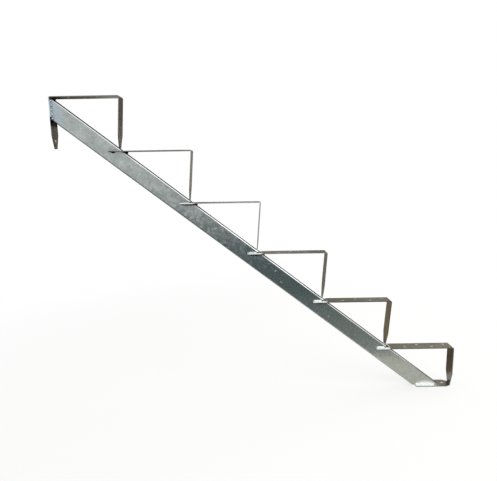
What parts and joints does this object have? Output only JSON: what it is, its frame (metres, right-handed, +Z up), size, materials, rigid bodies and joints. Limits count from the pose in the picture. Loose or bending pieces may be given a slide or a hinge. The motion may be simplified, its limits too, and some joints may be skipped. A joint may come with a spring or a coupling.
{
  "type": "stair stringer",
  "caption": "Galvanised steel stair stringer: a sloping tube rail with bent flat-bar treads and risers welded along it, a hanger leg for the deck and a foot plate.",
  "frame": {"origin": "centre of the hanger's screw hole, on the face that lies against the deck", "axes": "+X down the stair away from the deck, +Y across the bars, +Z up"},
  "size_m": [1.5272, 0.0508, 1.1494],
  "materials": {
    "rail_zinc": "galvanised, dull with soft spangle",
    "bar_zinc": "galvanised, weathered brown-grey",
    "weld_zinc": "bright zinc over weld metal"
  },
  "bodies": {
    "root": {"rail": "rail_zinc", "top_step": "bar_zinc", "step_2": "bar_zinc", "step_3": "bar_zinc", "step_4": "bar_zinc", "step_5": "bar_zinc", "step_6": "bar_zinc", "foot_plate": "bar_zinc", "hanger_weld": "weld_zinc", "top_step_weld": "weld_zinc", "step_2_weld": "weld_zinc", "step_3_weld": "weld_zinc", "step_4_weld": "weld_zinc", "step_5_weld": "weld_zinc", "step_6_weld": "weld_zinc", "foot_weld": "weld_zinc"}
  },
  "joints": []
}
